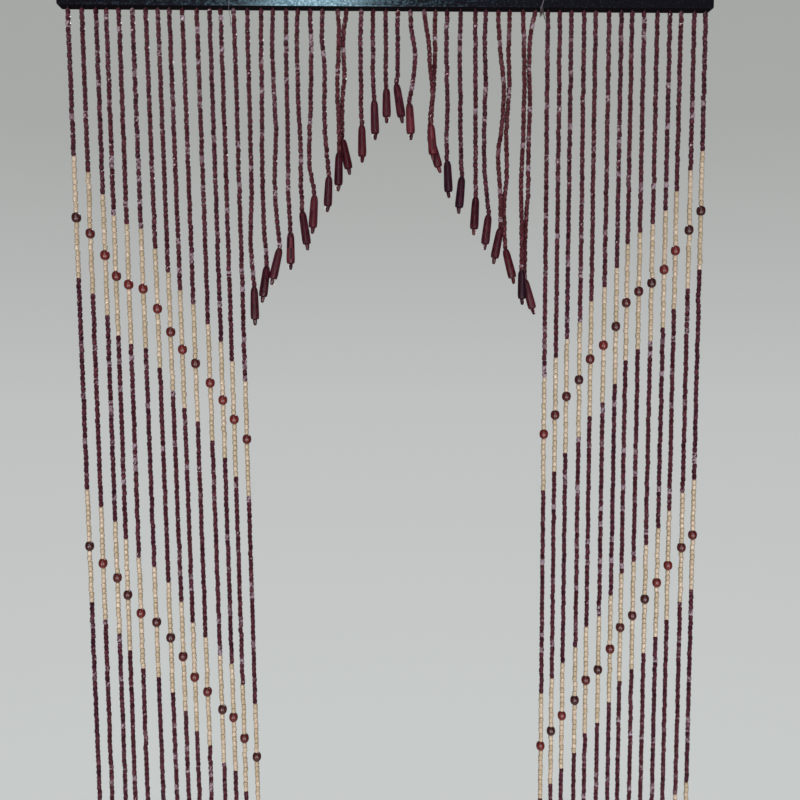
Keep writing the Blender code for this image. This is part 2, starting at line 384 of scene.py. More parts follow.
class Bench:
    """A node tree and the one way to add nodes to it."""

    def __init__(self, tree: bpy.types.NodeTree) -> None:
        """Keeps the tree."""
        self.tree = tree

    @staticmethod
    def pick(sockets: bpy.types.bpy_prop_collection, key: str | int) -> NodeSocket:
        """Returns: a socket by number, or the one of this name that the node's settings leave in use."""
        if isinstance(key, int):
            return sockets[key]
        return next(socket for socket in sockets if socket.name == key and socket.enabled)

    def feed(self, socket: NodeSocket, value: object) -> None:
        """Links a wire to a socket, or sets the socket's own value."""
        if isinstance(value, Wire):
            self.tree.links.new(value.socket, socket)
        else:
            socket.default_value = value

    def add(self, kind: str, settings: dict, values: dict, out: str | int = 0) -> Wire:
        """Adds any node.

        Args:
            kind: the node's type.
            settings: its properties, or for a ramp "stops" with places and colours.
            values: its inputs by name or number, as wires or plain values.
            out: the output wanted.

        Returns:
            The output as a wire.
        """
        node = self.tree.nodes.new(kind)
        for key, value in settings.items():
            if key == "stops":
                for place, _ in value[2:]:
                    node.color_ramp.elements.new(place)
                for element, (place, colour) in zip(node.color_ramp.elements, value):
                    element.position = place
                    element.color = (*colour, 1.0)
            else:
                setattr(node, key, value)
        for key, value in values.items():
            self.feed(self.pick(node.inputs, key), value)
        return Wire(self, self.pick(node.outputs, out))

    def mix(self, share: Wire, first: Wire | Colour, second: Wire | Colour) -> Wire:
        """Returns: a blend of two colours."""
        values = {"Factor": share, "A": first, "B": second}
        for key in ("A", "B"):
            if not isinstance(values[key], Wire):
                values[key] = (*values[key], 1.0)
        return self.add("ShaderNodeMix", {"data_type": "RGBA"}, values, "Result")


class FinishBench(Bench):
    """The bench of a new material, with the patterns that the finishes share."""

    def __init__(self, name: str) -> None:
        """Starts a material with a Principled BSDF."""
        self.material = bpy.data.materials.new(name)
        self.material.use_nodes = True
        super().__init__(self.material.node_tree)

    def attribute(self, name: str) -> Wire:
        """Returns: a number that the mesh carries under this name."""
        return self.add("ShaderNodeAttribute", {"attribute_name": name}, {}, "Fac")

    def coordinates(self, stretch: Point = (1.0, 1.0, 1.0)) -> Wire:
        """Returns: object coordinates, stretched by a share along each axis."""
        place = self.add("ShaderNodeTexCoord", {}, {}, "Object")
        return self.add("ShaderNodeMapping", {}, {"Vector": place, "Scale": stretch})

    def noise(self, scale: float, detail: float = 3.0, stretch: Point = (1.0, 1.0, 1.0)) -> Wire:
        """Returns: plain noise from 0 to 1, on stretched coordinates."""
        values = {"Vector": self.coordinates(stretch), "Scale": scale, "Detail": detail}
        return self.add("ShaderNodeTexNoise", {}, values)

    def bump(self, height: Wire, strength: float, distance: float) -> Wire:
        """Returns: a normal that follows a height."""
        values = {"Height": height, "Strength": strength, "Distance": distance}
        return self.add("ShaderNodeBump", {}, values)

    def dress(self, **sockets: object) -> Material:
        """Feeds the Principled BSDF's sockets, with underscores for spaces. Returns: the material."""
        shader = self.tree.nodes["Principled BSDF"]
        for name, value in sockets.items():
            self.feed(shader.inputs[name.replace("_", " ")], value)
        return self.material


@dataclass(frozen=True)
class CutGlass:
    """Dark glass with ground facets, some with painted highlights, its tint running from plum to brick.

    The lit colour is that of the painted highlights on lighter facets, and flash that of the painted glints
    on the few brightest. Sparkle is how strongly random facets take the painted highlight, streaks how
    strongly thin painted highlight lines run along the bead, dusk how much less painted glow the plum glass
    has than the brick, and glint how glossy the best facets are.
    """

    plum: Colour
    brick: Colour
    painted_lit: Colour
    painted_flash: Colour
    painted_sparkle: float
    reflection: float
    glint: float
    highlight_streaks: float = 0.0
    dusk: float = 0.0
    roughness: float = 0.28

    def make(self, name: str) -> Material:
        """Returns: the glass's material."""
        bench = FinishBench(name)
        tone, facet = bench.attribute("tone"), bench.attribute("facet")
        warmth = bench.attribute("warmth")
        deep = bench.mix(warmth, self.plum, self.brick)
        # Painted glow: random bead tone and soft mottling lighten the glass towards the lit colour, a
        # painted highlight, with thin lengthwise painted highlight lines where streaks is set.
        cloud = bench.noise(520.0, stretch=(1.0, 1.0, 0.25))
        lines = bench.noise(900.0, 2.0, stretch=(1.0, 1.0, 0.03))
        mottle = 0.12 + self.highlight_streaks * lines.between(0.48, 0.64)
        awake = 1.0 - self.dusk * (1.0 - warmth.between(0.0, 0.5))
        inner = (0.18 * tone + mottle * cloud.between(0.35, 0.65)) * awake
        # Painted highlights: random facets take the lit colour.
        painted_glow = inner + self.painted_sparkle * facet.between(0.50, 1.0)
        glass = bench.mix(painted_glow, deep, self.painted_lit)
        # Painted glints: on a few beads, some facets take the flash colour.
        painted_flash_share = tone.between(0.88, 0.98) * facet.between(0.25, 0.65)
        wear = bench.noise(900.0)
        rough = self.roughness + 0.12 * wear.between(0.45, 0.8) + 0.06 * tone
        return bench.dress(
            Base_Color=bench.mix(painted_flash_share, glass, self.painted_flash),
            Roughness=rough,
            Coat_Weight=self.glint * facet.between(0.80, 1.0),
            Coat_Roughness=0.10,
            Specular_IOR_Level=self.reflection,
            Normal=bench.bump(wear, 0.06, 0.0002),
        )


@dataclass(frozen=True)
class MilkGlass:
    """Pale cut glass: cream that turns from straw to pinkish from bead to bead, with painted highlights on
    some facets.
    """

    straw: Colour
    blush: Colour
    # The colour of the painted highlights.
    light: Colour

    def make(self, name: str) -> Material:
        """Returns: the glass's material."""
        bench = FinishBench(name)
        tone, facet = bench.attribute("tone"), bench.attribute("facet")
        body = bench.mix(tone.between(0.35, 0.75), self.straw, self.blush)
        # Painted glow: soft mottling and random facets lighten the cream towards the painted highlight
        # colour.
        cloud = bench.noise(350.0, stretch=(1.0, 1.0, 0.5))
        painted_glow = 0.2 * cloud + 0.7 * facet.between(0.55, 1.0) * tone.between(0.2, 1.0)
        wear = bench.noise(800.0)
        return bench.dress(
            Base_Color=bench.mix(painted_glow, body, self.light),
            Roughness=0.22 + 0.16 * wear.between(0.4, 0.8),
            Specular_IOR_Level=0.35,
            Coat_Weight=0.10,
            Coat_Roughness=0.14,
            Normal=bench.bump(wear, 0.06, 0.0002),
        )


@dataclass(frozen=True)
class VarnishedWood:
    """Turned wood under clear varnish, with fine grain along the hole."""

    dark: Colour
    light: Colour

    def make(self, name: str) -> Material:
        """Returns: the wood's material."""
        bench = FinishBench(name)
        tone = bench.attribute("tone")
        grain = bench.noise(1500.0, 5.0, stretch=(1.0, 1.0, 0.12))
        share = (0.25 + 0.75 * grain) * tone.between(0.1, 0.9)
        return bench.dress(
            Base_Color=bench.mix(share, self.dark, self.light),
            Roughness=0.32 + 0.08 * grain,
            Coat_Weight=0.28,
            Coat_Roughness=0.28,
            Normal=bench.bump(grain, 0.02, 0.0002),
        )


@dataclass(frozen=True)
class BlackLacquer:
    """Thick black lacquer over a wooden lath: long faint grain, slight ripples and fine dust."""

    colour: Colour
    dust: Colour

    def make(self, name: str) -> Material:
        """Returns: the lacquer's material."""
        bench = FinishBench(name)
        grain = bench.noise(260.0, 4.0, stretch=(0.05, 1.0, 1.0))
        ripple = bench.noise(420.0, stretch=(0.8, 1.0, 1.0))
        speck = bench.noise(2400.0, 1.0)
        dusty = speck.between(0.66, 0.78) * 0.35
        height = 0.12 * grain + 0.88 * ripple
        return bench.dress(
            Base_Color=bench.mix(dusty, self.colour, self.dust),
            Roughness=0.10 + 0.20 * ripple.between(0.38, 0.68) + 0.2 * dusty,
            Specular_IOR_Level=1.0,
            Specular_Tint=(0.52, 0.84, 1.0, 1.0),
            Coat_Weight=0.8 * ripple.between(0.48, 0.34),
            Coat_Roughness=0.12,
            Normal=bench.bump(height, 1.0, 0.00009),
        )


@dataclass(frozen=True)
class MattPaint:
    """Thin black paint on the rail's sawn underside, which has no lacquer."""

    colour: Colour

    def make(self, name: str) -> Material:
        """Returns: the paint's material."""
        bench = FinishBench(name)
        grain = bench.noise(900.0, stretch=(0.05, 1.0, 1.0))
        lighter = tuple(2.5 * part for part in self.colour)
        return bench.dress(
            Base_Color=bench.mix(grain, self.colour, lighter),
            Roughness=0.9,
            Specular_IOR_Level=0.05,
            Normal=bench.bump(grain, 0.2, 0.0003),
        )


@dataclass(frozen=True)
class TwistedThread:
    """Thin dull thread, its plies wound round it."""

    colour: Colour
    light: Colour

    def make(self, name: str) -> Material:
        """Returns: the thread's material."""
        bench = FinishBench(name)
        settings = {"wave_type": "BANDS", "bands_direction": "DIAGONAL"}
        values = {"Vector": bench.coordinates(), "Scale": 700.0, "Distortion": 1.5}
        ply = bench.add("ShaderNodeTexWave", settings, values, 1)
        return bench.dress(
            Base_Color=bench.mix(ply, self.colour, self.light),
            Roughness=0.8,
            Normal=bench.bump(ply, 0.5, 0.0002),
        )


# The lit and flash colours of the cut glass and the light colour of the pale glass are painted highlights
# and glints.
FINISHES = {
    "dark_glass": CutGlass(
        plum=(0.021, 0.0020, 0.0090),
        brick=(0.042, 0.0046, 0.0046),
        painted_lit=(0.21, 0.060, 0.088),
        painted_flash=(0.34, 0.25, 0.30),
        painted_sparkle=0.42,
        reflection=0.14,
        glint=0.6,
    ),
    "drop_glass": CutGlass(
        plum=(0.010, 0.0022, 0.0088),
        brick=(0.029, 0.0013, 0.0027),
        painted_lit=(0.14, 0.026, 0.042),
        painted_flash=(0.12, 0.020, 0.030),
        painted_sparkle=0.12,
        reflection=0.18,
        glint=0.12,
        highlight_streaks=0.60,
        dusk=0.6,
    ),
    "pale_glass": MilkGlass((0.42, 0.328, 0.220), (0.51, 0.395, 0.300), (0.72, 0.62, 0.50)),
    "round_wood": VarnishedWood((0.040, 0.0030, 0.0045), (0.185, 0.012, 0.011)),
    "rail_lacquer": BlackLacquer((0.0042, 0.0008, 0.0040), (0.08, 0.08, 0.09)),
    "raw_underside": MattPaint((0.0045, 0.003, 0.005)),
    "thread": TwistedThread((0.10, 0.075, 0.07), (0.20, 0.17, 0.16)),
    "loose_thread": TwistedThread((0.08, 0.072, 0.095), (0.17, 0.155, 0.19)),
    "frayed_thread": TwistedThread((0.015, 0.009, 0.012), (0.055, 0.035, 0.045)),
    "pale_thread": TwistedThread((0.66, 0.63, 0.62), (0.88, 0.86, 0.85)),
}


def add_object(name: str, data: bpy.types.ID) -> Object:
    """Returns: a new object of this data, in the scene."""
    made = bpy.data.objects.new(name, data)
    bpy.context.scene.collection.objects.link(made)
    return made


def add_solid(name: str, shaped: BMesh) -> Object:
    """Returns: a new object of a closed or flat shape, its faces turned outwards."""
    mesh = bpy.data.meshes.new(name)
    bmesh.ops.recalc_face_normals(shaped, faces=shaped.faces)
    shaped.to_mesh(mesh)
    shaped.free()
    return add_object(name, mesh)


def take_modifiers(carrier: Object) -> Mesh:
    """Returns: the plain mesh that an object's modifiers make, once they are taken off it."""
    graph = bpy.context.evaluated_depsgraph_get()
    mesh = bpy.data.meshes.new_from_object(
        carrier.evaluated_get(graph), preserve_all_data_layers=True, depsgraph=graph
    )
    carrier.modifiers.clear()
    return mesh


def ring_stack(profile: Pairs, outline: Pairs, twist: float) -> BMesh:
    """A closed bead: an outline repeated down a profile.

    Args:
        profile: heights along the hole and the outline's size there, from the lower end up.
        outline: points round the hole, anticlockwise.
        twist: how far the outline turns over the bead's length, in degrees.

    Returns:
        The bead's mesh, with a flat face at each end.
    """
    made = bmesh.new()
    rings = []
    for height, size in profile:
        turn = Matrix.Rotation(math.radians(twist * height), 3, "Z")
        rings.append([made.verts.new(turn @ Vector((x * size, y * size, height))) for x, y in outline])
    count = len(outline)
    for below, above in zip(rings, rings[1:]):
        for k in range(count):
            after = (k + 1) % count
            made.faces.new((below[k], below[after], above[after], above[k]))
    made.faces.new(list(reversed(rings[0])))
    made.faces.new(rings[-1])
    return made


def cut_outline(sides: int, bevel: float) -> Pairs:
    """Returns: a polygon with its corners cut by a bevel, in degrees, one unit wide on average."""
    points = []
    for side in range(sides):
        for turn in (bevel / 2, 360 / sides - bevel / 2):
            angle = math.radians(side * 360 / sides + turn)
            points.append((math.cos(angle), math.sin(angle)))
    girth = sum(math.dist(point, after) for point, after in zip(points, points[1:] + points[:1]))
    return tuple((x * math.pi / girth, y * math.pi / girth) for x, y in points)


def round_outline(sides: int) -> Pairs:
    """Returns: a unit-wide circle's points."""
    turns = [math.tau * k / sides for k in range(sides)]
    return tuple((math.cos(turn) / 2, math.sin(turn) / 2) for turn in turns)


@dataclass(frozen=True)
class BeadShape:
    """A kind of bead: its finish, its usual length and width, its profile and how it is cut.

    Bevel, twist and lean are in degrees: how broadly its corners are ground off, how far its cut winds round
    it, and the most that it leans off its string. A bead without a bevel is round.
    """

    finish: str
    length: float
    width: float
    profile: Pairs
    sides: int
    bevel: float = 0.0
    twist: float = 0.0
    lean: float = 0.0
    smooth: bool = False
    sharp_angle: float = 50.0

    def make(self, name: str) -> Object:
        """Returns: the bead one metre long and wide, as an object that its place then scales."""
        outline = cut_outline(self.sides, self.bevel) if self.bevel else round_outline(self.sides)
        shaped = ring_stack(self.profile, outline, self.twist)
        mesh = bpy.data.meshes.new(name)
        shaped.to_mesh(mesh)
        shaped.free()
        if self.smooth:
            mesh.shade_smooth()
            mesh.set_sharp_from_angle(angle=math.radians(self.sharp_angle))
        return bpy.data.objects.new(name, mesh)


def turned_profile(rows: int, hole: float, squareness: float) -> Pairs:
    """A round bead's profile, from pole to pole.

    Args:
        rows: bands from end to end.
        hole: the hole's width as a share of the bead's.
        squareness: 1 for a sphere, lower for a bead with fuller shoulders.

    Returns:
        Heights and sizes.
    """
    points = []
    for row in range(rows + 1):
        turn = math.pi * row / rows
        size = max(math.sin(turn) ** squareness, hole)
        points.append((-math.cos(turn) / 2, size))
    return tuple(points)


CUT_PROFILE = ((-0.5, 0.70), (-0.36, 0.99), (0.0, 1.05), (0.36, 0.99), (0.5, 0.70))
BARREL_PROFILE = ((-0.5, 0.64), (-0.42, 0.90), (-0.24, 1.0), (0.24, 1.0), (0.42, 0.90), (0.5, 0.64))
DROP_PROFILE = (
    *((-0.50, 0.74), (-0.47, 0.93), (-0.36, 1.0), (0.0, 0.94)),
    *((0.33, 0.86), (0.42, 0.74), (0.47, 0.58), (0.50, 0.46)),
)
TAIL_PROFILE = ((-0.5, 0.42), (-0.42, 0.68), (-0.15, 0.88), (0.20, 1.0), (0.42, 1.06), (0.5, 0.95))
SHAPES = {
    BeadKind.DARK: BeadShape("dark_glass", DARK_PITCH, DARK_WIDTH, CUT_PROFILE, 4, 32.0, 80.0, 4.0),
    BeadKind.PALE: BeadShape("pale_glass", PALE_PITCH, PALE_WIDTH, BARREL_PROFILE, 8, lean=2.0, smooth=True),
    BeadKind.ROUND: BeadShape(
        "round_wood", ROUND_LENGTH, ROUND_WIDTH, turned_profile(12, 0.2, 0.62), 20, lean=4.0, smooth=True
    ),
    BeadKind.DROP: BeadShape("drop_glass", DROP_BODY, DROP_WIDTH, DROP_PROFILE, 8, 12.0, smooth=True),
    BeadKind.TAIL: BeadShape("drop_glass", TAIL_LENGTH, TAIL_WIDTH, TAIL_PROFILE, 6, 14.0, lean=8.0),
}


class PieceTree(Bench):
    """A Geometry Nodes tree with named inputs, built and applied in the script."""

    def __init__(self, name: str, **inputs: str) -> None:
        """Starts the tree.

        Args:
            name: its name.
            inputs: the kinds of its inputs besides the geometry, by name.
        """
        super().__init__(bpy.data.node_groups.new(name, "GeometryNodeTree"))
        self.tree.is_modifier = True
        sockets = self.tree.interface
        for label, kind in {"Geometry": "Geometry", **inputs}.items():
            sockets.new_socket(label, in_out="INPUT", socket_type=f"NodeSocket{kind}")
        sockets.new_socket("Geometry", in_out="OUTPUT", socket_type="NodeSocketGeometry")
        self.source = self.tree.nodes.new("NodeGroupInput")

    def given(self, name: str) -> Wire:
        """Returns: one of the tree's inputs."""
        return Wire(self, self.source.outputs[name])

    def column(self, name: str) -> Wire:
        """Returns: a vector that each point carries under this name."""
        settings = {"data_type": "FLOAT_VECTOR"}
        return self.add("GeometryNodeInputNamedAttribute", settings, {"Name": name}, "Attribute")

    def chance(self, kind: str, least: Wire | float, most: Wire | float) -> Wire:
        """Returns: a random value of this kind for each element, drawn from the tree's seed."""
        values = {"Min": least, "Max": most, "Seed": self.given("Seed")}
        return self.add("FunctionNodeRandomValue", {"data_type": kind}, values, "Value")

    def end(self, solid: Wire) -> None:
        """Gives the solid the tree's finish and ends the tree with it."""
        values = {"Geometry": solid, "Material": self.given("Finish")}
        dressed = self.add("GeometryNodeSetMaterial", {}, values)
        self.feed(self.tree.nodes.new("NodeGroupOutput").inputs[0], dressed)

    def apply(self, name: str, mesh: Mesh, **values: object) -> Object:
        """Runs the tree on a mesh and keeps the result as a plain mesh.

        Args:
            name: the new piece's name.
            mesh: the points or lines that the tree starts from. It is removed, and its carrier with it.
            values: the tree's inputs.

        Returns:
            The new piece, at the origin.
        """
        sockets = {s.name: s.identifier for s in self.tree.interface.items_tree if s.in_out == "INPUT"}
        carrier = add_object(f"{name}_carrier", mesh)
        modifier = carrier.modifiers.new(self.tree.name, "NODES")
        modifier.node_group = self.tree
        for key, value in values.items():
            modifier[sockets[key]] = value
        made = take_modifiers(carrier)
        bpy.data.meshes.remove(mesh)
        made.name = name
        return add_object(name, made)


class BeadTree(PieceTree):
    """Puts a bead on each point, its hole along the string, rolled at random and leaning a little."""

    def __init__(self) -> None:
        """Builds the tree."""
        super().__init__("string beads", Bead="Object", Lean="Float", Seed="Int", Finish="Material")
        bead = self.add("GeometryNodeObjectInfo", {}, {"Object": self.given("Bead")}, "Geometry")
        aim = self.add("FunctionNodeAlignRotationToVector", {"axis": "Z"}, {"Vector": self.column("along")})
        lean = self.given("Lean")
        back = lean * -1.0
        least = self.add("ShaderNodeCombineXYZ", {}, {"X": back, "Y": back})
        most = self.add("ShaderNodeCombineXYZ", {}, {"X": lean, "Y": lean, "Z": math.tau})
        angles = self.chance("FLOAT_VECTOR", least, most)
        roll = self.add("FunctionNodeEulerToRotation", {}, {"Euler": angles})
        values = {"Rotation": aim, "Rotate By": roll}
        turned = self.add("FunctionNodeRotateRotation", {"rotation_space": "LOCAL"}, values)
        values = {"Points": self.given("Geometry"), "Instance": bead, "Rotation": turned}
        values["Scale"] = self.column("size")
        strung = self.add("GeometryNodeInstanceOnPoints", {}, values)
        solid = self.add("GeometryNodeRealizeInstances", {}, {"Geometry": strung})
        # A random number for each face, which the glass finishes use for painted highlights and glints, and
        # for coat.
        settings = {"data_type": "FLOAT", "domain": "FACE"}
        values = {"Geometry": solid, "Name": "facet", "Value": self.chance("FLOAT", 0.0, 1.0)}
        self.end(self.add("GeometryNodeStoreNamedAttribute", settings, values))


class ThreadTree(PieceTree):
    """Sweeps a round thread along each line of its mesh and closes the ends."""

    def __init__(self) -> None:
        """Builds the tree."""
        super().__init__("sweep thread", Radius="Float", Sides="Int", Finish="Material")
        line = self.add("GeometryNodeMeshToCurve", {}, {"Mesh": self.given("Geometry")})
        values = {"Resolution": self.given("Sides"), "Radius": self.given("Radius")}
        ring = self.add("GeometryNodeCurvePrimitiveCircle", {"mode": "RADIUS"}, values)
        values = {"Curve": line, "Profile Curve": ring, "Fill Caps": True}
        tube = self.add("GeometryNodeCurveToMesh", {}, values)
        self.end(self.add("GeometryNodeRealizeInstances", {}, {"Geometry": tube}))


class Workshop:
    """The shapes, trees and finishes that every part of the curtain draws on."""

    def __init__(self) -> None:
        """Makes the unit beads, the trees and the materials."""
        self.beads = {kind: shape.make(f"unit_{kind.value}") for kind, shape in SHAPES.items()}
        self.bead_tree = BeadTree()
        self.thread_tree = ThreadTree()
        self.finishes = {name: look.make(name) for name, look in FINISHES.items()}

    def close(self) -> None:
        """Removes the unit beads once every string is strung."""
        for bead in self.beads.values():
            bpy.data.objects.remove(bead)

    def string_beads(self, name: str, beads: list[Bead], seed: int) -> Object:
        """Makes one piece of like beads.

        Args:
            name: the piece's name.
            beads: their places, all of one kind.
            seed: for the roll and the lean.

        Returns:
            The piece.
        """
        kind = beads[0].kind
        mesh = bpy.data.meshes.new(name)
        mesh.from_pydata([bead.centre for bead in beads], [], [])
        columns = {
            "along": ("FLOAT_VECTOR", "vector", [v for bead in beads for v in bead.along]),
            "size": ("FLOAT_VECTOR", "vector", [v for b in beads for v in (b.width, b.width, b.length)]),
            "tone": ("FLOAT", "value", [bead.tone for bead in beads]),
            "warmth": ("FLOAT", "value", [bead.warmth for bead in beads]),
        }
        for column, (sort, field, values) in columns.items():
            mesh.attributes.new(column, sort, "POINT").data.foreach_set(field, values)
        lean = math.radians(SHAPES[kind].lean)
        finish = self.finishes[SHAPES[kind].finish]
        return self.bead_tree.apply(name, mesh, Bead=self.beads[kind], Lean=lean, Seed=seed, Finish=finish)

    def sweep_threads(self, name: str, lines: list[list[Vector]], radius: float, finish: str) -> Object:
        """Makes one piece of threads.

        Args:
            name: the piece's name.
            lines: each thread's points.
            radius: the threads' radius.
            finish: their material's name.

        Returns:
            The piece.
        """
        points, edges = [], []
        for line in lines:
            first = len(points)
            points += line
            edges += [(first + k, first + k + 1) for k in range(len(line) - 1)]
        mesh = bpy.data.meshes.new(name)
        mesh.from_pydata(points, edges, [])
        chosen = self.finishes[finish]
        return self.thread_tree.apply(name, mesh, Radius=radius, Sides=THREAD_SIDES, Finish=chosen)


def hand_over(piece: Object, node: str) -> None:
    """Lets a finished piece ride on the curtain's body in the place of a solid."""
    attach(piece, BODY)
    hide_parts(node)
    faces = sum(len(polygon.vertices) - 2 for polygon in piece.data.polygons)
    log.info("%s: %d triangles, replaces %s", piece.name, faces, node)


@dataclass(frozen=True)
class StringGroup:
    """The strings that hang together as one panel or half valance.

    Each of its halves is a piece of dark beads: the end of its name and its range of strings.
    """

    node: str
    strings: tuple[String, ...]
    seed: int
    halves: tuple[tuple[str, int, int], ...]

    def string_run(self, string: String, run: Run, draw: random.Random) -> list[Bead]:
        """Threads one stretch of beads, end to end.

        Args:
            string: the string that they are on.
            run: the stretch.
            draw: the group's source of chance.

        Returns:
            The beads.
        """
        shape = SHAPES[run.kind]
        count = max(1, round((run.end - run.start) / shape.length))
        spread = 0.0 if run.kind is BeadKind.ROUND else LENGTH_SPREAD
        lengths = [1 + draw.uniform(-spread, spread) for _ in range(count)]
        unit = (run.end - run.start) / sum(lengths)
        made, reached = [], run.start
        for length in lengths:
            top, low = string.at(reached), string.at(reached + length * unit)
            stray = Vector((draw.gauss(0, SIDE_STRAY), draw.gauss(0, SIDE_STRAY), 0))
            made.append(
                Bead(
                    run.kind,
                    (top + low) / 2 + stray,
                    (top - low).normalized(),
                    (top - low).length,
                    shape.width * (1 + draw.uniform(-WIDTH_SPREAD, WIDTH_SPREAD / 2)),
                    draw.random(),
                    min(max(string.glass.value + draw.gauss(0, TINT_SPREAD), 0), 1),
                )
            )
            reached += length * unit
        return made

    def end_beads(self, string: String, draw: random.Random) -> list[Bead]:
        """Returns: the drop bead and the tail bead that end a string."""
        top, tip = string.at(string.drop_depth()), string.tip()
        body = string.drop_length()
        waist = top.lerp(tip, body / (body + TAIL_LENGTH))
        along = (top - tip).normalized()
        warmth = min(max(string.drop.value + draw.gauss(0, DROP_TINT_SPREAD), 0), 1)
        made = []
        for kind, high, low in ((BeadKind.DROP, top, waist), (BeadKind.TAIL, waist, tip)):
            length, width = (high - low).length, SHAPES[kind].width
            made.append(Bead(kind, (high + low) / 2, along, length, width, draw.random(), warmth))
        return made

    def build(self, shop: Workshop) -> None:
        """Strings every bead of the group and hands its pieces over."""
        draw = random.Random(self.seed)
        strung = []
        for string in self.strings:
            beads = [bead for run in string.runs() for bead in self.string_run(string, run, draw)]
            strung.append(beads + self.end_beads(string, draw))
        for order, kind in enumerate(BeadKind):
            parts = self.halves if kind is BeadKind.DARK else (("", 0, len(strung)),)
            for label, first, last in parts:
                chosen = [bead for beads in strung[first:last] for bead in beads if bead.kind is kind]
                if not chosen:
                    continue
                name = f"{self.node}_{kind.value}{label}"
                piece = shop.string_beads(name, chosen, self.seed + order)
                hand_over(piece, self.node)
        loose = [string for string in self.strings if string.drop is not Glass.BRICK]
        loops = [self.end_loop(string, draw) for string in loose if draw.random() < LOOP_SHARE]
        for name, lines, radius, finish in (
            ("threads", self.thread_lines(), THREAD_RADIUS, "thread"),
            ("end_loops", loops, LOOP_RADIUS, "pale_thread"),
        ):
            hand_over(shop.sweep_threads(f"{self.node}_{name}", lines, radius, finish), self.node)

    @staticmethod
    def end_loop(string: String, draw: random.Random) -> list[Vector]:
        """Returns: a short loop of pale thread that is tied off between the drop bead and the tail bead."""
        top, tip = string.at(string.drop_depth()), string.tip()
        waist = tip.lerp(top, 0.8 * TAIL_LENGTH / (string.drop_length() + TAIL_LENGTH))
        side = draw.choice((-1, 1))
        reach, fall = draw.uniform(*LOOP_REACH), draw.uniform(*LOOP_FALL)
        front = waist + Vector((0.0, -TAIL_WIDTH / 2, 0.0))
        bends = ((0.7, 0.0, 0.0004), (1.0, -0.0004, -0.4 * fall), (0.8, 0.0, -fall))
        return [waist] + [front + Vector((side * reach * out, y, z)) for out, y, z in bends]

    def thread_lines(self) -> list[list[Vector]]:
        """Returns: each string's thread, from inside the rail to inside its tail bead."""
        lines = []
        for string in self.strings:
            end = string.drop_depth()
            steps = max(2, math.ceil(end / THREAD_STEP))
            line = [string.at(0) + Vector((0, 0, THREAD_STEP / 4))]
            line += [string.at(end * k / steps) for k in range(steps + 1)]
            line.append(string.at(end).lerp(string.tip(), 0.9))
            lines.append(line)
        return lines


@dataclass(frozen=True)
class Rail:
    """The lacquered lath, its ends' corners barely rounded, with a row of string holes in its underside."""

    low: Vector
    high: Vector
    corner: float = 0.0015
    edge: float = 0.001
    hole_radius: float = 0.0014
    hole_depth: float = 0.007
    hole_sides: int = 12
    corner_steps: int = 6
    sharp_angle: float = 20.0
    downward: float = -0.9

    def build(self, shop: Workshop, roots: list[Vector]) -> None:
        """Makes the lath, drills it at the strings' roots and hands it over."""
        lath = add_solid("lacquered_rail", self.lath())
        drill = add_solid("drill", self.holes(roots))
        cut = lath.modifiers.new("string holes", "BOOLEAN")
        cut.object = drill
        cut.operation = "DIFFERENCE"
        cut.solver = "EXACT"
        mesh = take_modifiers(lath)
        lath.data = mesh
        mesh.shade_smooth()
        mesh.set_sharp_from_angle(angle=math.radians(self.sharp_angle))
        mesh.materials.clear()
        for finish in ("rail_lacquer", "raw_underside"):
            mesh.materials.append(shop.finishes[finish])
        for polygon in mesh.polygons:
            under = polygon.center.z < self.low.z + self.edge / 2
            polygon.material_index = 1 if under or polygon.normal.z < self.downward else 0
        bpy.data.objects.remove(drill)
        hand_over(lath, "rail")

    def lath(self) -> BMesh:
        """Returns: a long box whose end corners are rounded as seen from the front, its edges broken."""
        shaped = bmesh.new()
        left, right = self.low.x + self.corner, self.high.x - self.corner
        foot, top = self.low.z + self.corner, self.high.z - self.corner
        front, back = [], []
        for x, z, first in ((right, top, 0), (left, top, 90), (left, foot, 180), (right, foot, 270)):
            for step in range(self.corner_steps + 1):
                turn = math.radians(first + 90 / self.corner_steps * step)
                across, up = x + self.corner * math.cos(turn), z + self.corner * math.sin(turn)
                front.append(shaped.verts.new((across, self.low.y, up)))
                back.append(shaped.verts.new((across, self.high.y, up)))
        faces = [shaped.faces.new(front), shaped.faces.new(list(reversed(back)))]
        for k in range(len(front)):
            after = (k + 1) % len(front)
            shaped.faces.new((front[after], front[k], back[k], back[after]))
        rims = [edge for face in faces for edge in face.edges]
        bmesh.ops.bevel(shaped, geom=rims, offset=self.edge, segments=3, profile=0.5, affect="EDGES")
        return shaped

    def holes(self, roots: list[Vector]) -> BMesh:
        """Returns: one plug for each string hole, half in the rail."""
        plugs = bmesh.new()
        for root in roots:
            size = {"radius1": self.hole_radius, "radius2": self.hole_radius, "depth": 2 * self.hole_depth}
            place = Matrix.Translation(root)
            bmesh.ops.create_cone(plugs, cap_ends=True, segments=self.hole_sides, matrix=place, **size)
        return plugs


